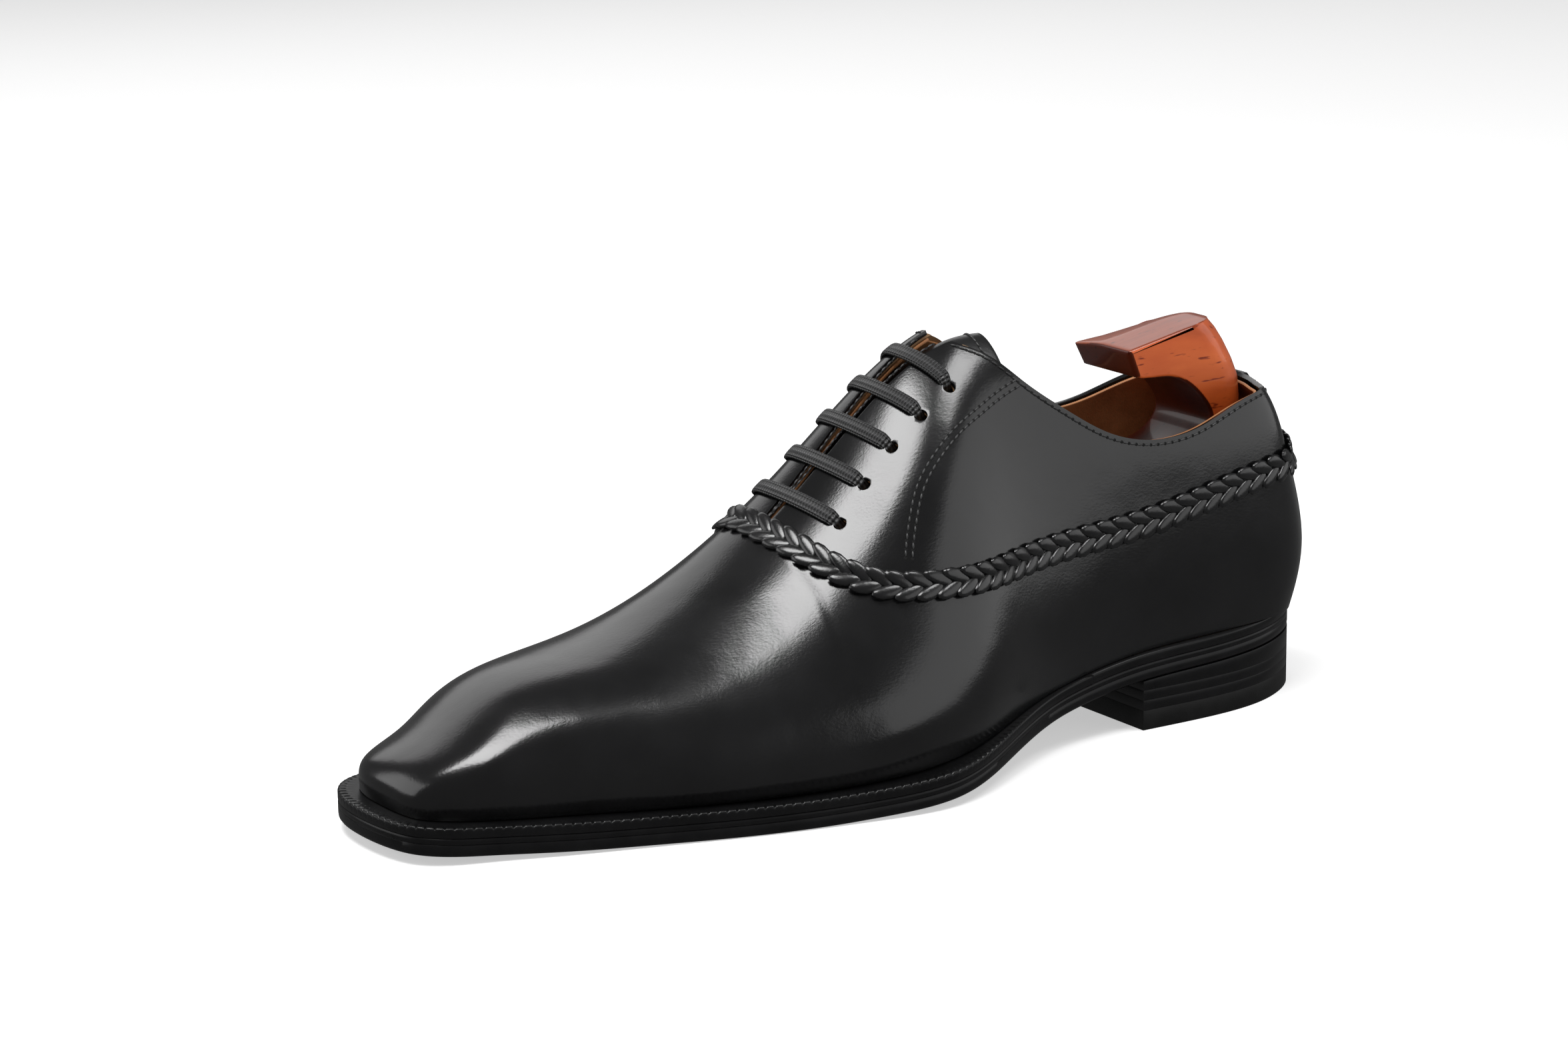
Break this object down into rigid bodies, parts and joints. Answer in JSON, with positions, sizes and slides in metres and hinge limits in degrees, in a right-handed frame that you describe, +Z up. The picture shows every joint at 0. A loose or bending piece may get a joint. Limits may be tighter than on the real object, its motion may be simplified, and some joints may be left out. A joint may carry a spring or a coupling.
{
  "type": "leather oxford shoe",
  "caption": "Left closed-lacing dress shoe with chisel toe, plaited trim, welted leather sole and stacked heel, holding a sprung wooden shoe tree.",
  "frame": {"origin": "middle of the heel's top piece, where it meets the floor", "axes": "+Z up, -Y towards the toe, +X towards the outer (lateral) side of the left foot"},
  "size_m": [0.1086, 0.3182, 0.1213],
  "materials": {
    "black_calf": "glossy polished box calf",
    "plait": "glossy plaited calf",
    "tan_lining": "smooth vegetable tanned lining",
    "stiffener": "skived board leather",
    "sole_leather": "black stained and waxed edge",
    "insole_leather": "plain shoulder leather",
    "cork": "cork and binder",
    "canvas": "linen rib",
    "heel_rubber": "hard rubber",
    "lace_cord": "waxed woven cotton",
    "beech_varnished": "red brown varnished wood",
    "brass": "polished",
    "steel": "drawn"
  },
  "bodies": {
    "root": {"outsole": "sole_leather", "welt": "sole_leather", "heel_rand": "sole_leather", "insole_rib": "canvas", "shank": "steel", "cork_filler": "cork", "seat_filler": "insole_leather", "insole": "insole_leather", "sock_liner": "tan_lining", "top_piece": "heel_rubber", "heel_lift_1": "sole_leather", "heel_lift_2": "sole_leather", "heel_lift_3": "sole_leather", "heel_nails": "brass", "vamp": "black_calf", "quarter_lateral": "black_calf", "quarter_medial": "black_calf", "facing_stay_lateral": "stiffener", "facing_stay_medial": "stiffener", "quarter_lining_lateral": "tan_lining", "quarter_lining_medial": "tan_lining", "vamp_lining": "tan_lining", "toe_puff": "stiffener", "heel_counter": "stiffener", "braid_trim": "plait", "heel_tab": "black_calf", "lace": "lace_cord", "tree_guide_dowels": "beech_varnished", "tree_toe_medial": "beech_varnished", "tree_tube": "brass", "tree_tube_plug": "brass", "tree_tube_collar": "brass", "tree_spring": "steel"},
    "tongue": {"tongue": "black_calf", "tongue_lining": "tan_lining"},
    "tree_toe_slider": {"tree_toe_lateral": "beech_varnished"},
    "tree_heel": {"tree_rod": "brass", "tree_ferrule": "brass", "tree_heel_block": "beech_varnished"}
  },
  "joints": [
    {"name": "tongue_hinge", "type": "hinge", "parent": "root", "child": "tongue", "pos_m": [0.0026, -0.147, 0.0665], "axis": [-1, 0, 0], "range_deg": [0, 8]},
    {"name": "tree_heel_slide", "type": "slide", "parent": "root", "child": "tree_heel", "axis": [0, -0.9781, -0.2079], "range_m": [0, 0.014], "stiffness_N_per_m": 900},
    {"name": "tree_toe_squeeze", "type": "slide", "parent": "root", "child": "tree_toe_slider", "axis": [-1, 0, 0], "range_m": [0, 0.0025], "stiffness_N_per_m": 1500}
  ]
}
